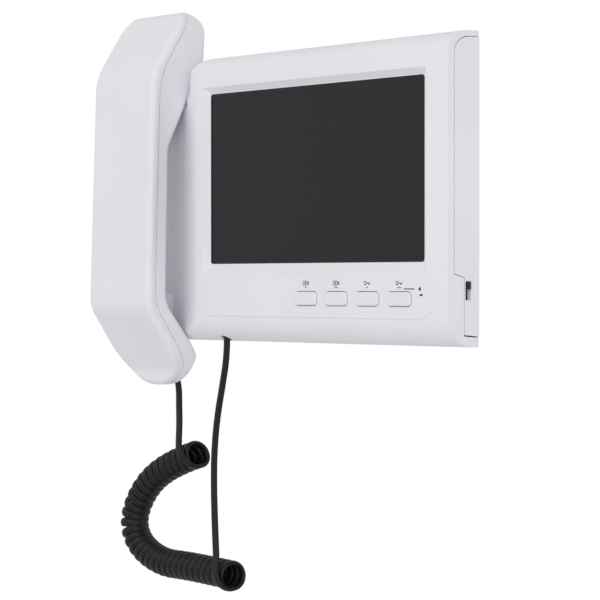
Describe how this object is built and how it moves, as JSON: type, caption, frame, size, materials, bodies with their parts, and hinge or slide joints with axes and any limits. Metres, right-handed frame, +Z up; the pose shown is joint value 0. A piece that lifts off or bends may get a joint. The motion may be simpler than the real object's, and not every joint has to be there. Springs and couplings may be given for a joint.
{
  "type": "video intercom monitor",
  "caption": "Wall-mounted video intercom monitor with a wide screen, call buttons, and a cradled handset on the left joined by a black curly cord.",
  "frame": {"origin": "middle of the wall bracket's two screw holes, on the wall plane", "axes": "+X right as the user faces the unit, +Y into the wall, +Z up"},
  "size_m": [0.2553, 0.0472, 0.295],
  "materials": {
    "shell_grey": "light grey textured ABS",
    "handset_grey": "light grey satin ABS",
    "steel": "zinc-plated pressed steel",
    "screen_glass": "dark tinted cover glass",
    "rubber": "black rubber",
    "panel_can": "bright pressed can",
    "board": "green solder mask",
    "black_plastic": "black moulded plastic",
    "ribbon": "amber polyimide",
    "button_grey": "light grey ABS",
    "lamp": "red light pipe",
    "copper": "wound copper and tape",
    "cord": "black flexible jacket"
  },
  "bodies": {
    "bracket": {"wall_bracket": "steel"},
    "housing": {"front_cover": "shell_grey", "rear_cover": "shell_grey", "screen_glass": "screen_glass", "screen_gasket": "rubber", "screen_panel": "panel_can", "backlight": "black_plastic", "main_board": "board", "board_chips": "black_plastic", "ribbon_socket": "black_plastic", "screen_ribbon": "ribbon", "terminal_block": "black_plastic", "power_board": "board", "transformer": "copper", "capacitors": "panel_can", "button_board": "board", "tact_switches": "black_plastic", "status_lamp": "lamp", "side_switch": "black_plastic", "loudspeaker": "steel", "speaker_gasket": "rubber", "hook_spring": "steel", "hook_switch": "black_plastic", "housing_screws": "steel", "board_screws": "steel", "base_grommet": "rubber", "cord_handset_tail": "cord", "cord_coil": "cord", "cord_base_tail": "cord"},
    "handset": {"handset_front": "handset_grey", "handset_back": "handset_grey", "ear_capsule": "black_plastic", "ear_gasket": "rubber", "mic_capsule": "panel_can", "mic_gasket": "rubber", "handset_weight": "steel", "handset_screws": "steel", "handset_grommet": "rubber"},
    "hook": {"hook_plunger": "button_grey"},
    "side_switch": {"switch_knob": "black_plastic"},
    "button_1": {"button_1": "button_grey"},
    "button_2": {"button_2": "button_grey"},
    "button_3": {"button_3": "button_grey"},
    "button_4": {"button_4": "button_grey"}
  },
  "joints": [
    {"name": "housing_lift", "type": "slide", "parent": "bracket", "child": "housing", "axis": [0, 0, 1], "range_m": [0, 0.008]},
    {"name": "handset_lift", "type": "slide", "parent": "housing", "child": "handset", "axis": [0, -1, 0], "range_m": [0, 0.04]},
    {"name": "hook_travel", "type": "slide", "parent": "housing", "child": "hook", "axis": [0, -1, 0], "range_m": [0, 0.003]},
    {"name": "button_1_press", "type": "slide", "parent": "housing", "child": "button_1", "axis": [0, 1, 0], "range_m": [0, 0.0012], "stiffness_N_per_m": 800},
    {"name": "button_2_press", "type": "slide", "parent": "housing", "child": "button_2", "axis": [0, 1, 0], "range_m": [0, 0.0012], "stiffness_N_per_m": 800},
    {"name": "button_3_press", "type": "slide", "parent": "housing", "child": "button_3", "axis": [0, 1, 0], "range_m": [0, 0.0012], "stiffness_N_per_m": 800},
    {"name": "button_4_press", "type": "slide", "parent": "housing", "child": "button_4", "axis": [0, 1, 0], "range_m": [0, 0.0012], "stiffness_N_per_m": 800},
    {"name": "side_switch_slide", "type": "slide", "parent": "housing", "child": "side_switch", "axis": [0, 0, 1], "range_m": [-0.0046, 0]}
  ],
  "couplings": [
    {"joint": "hook_travel", "follows": "handset_lift", "ratio": 0.075}
  ]
}
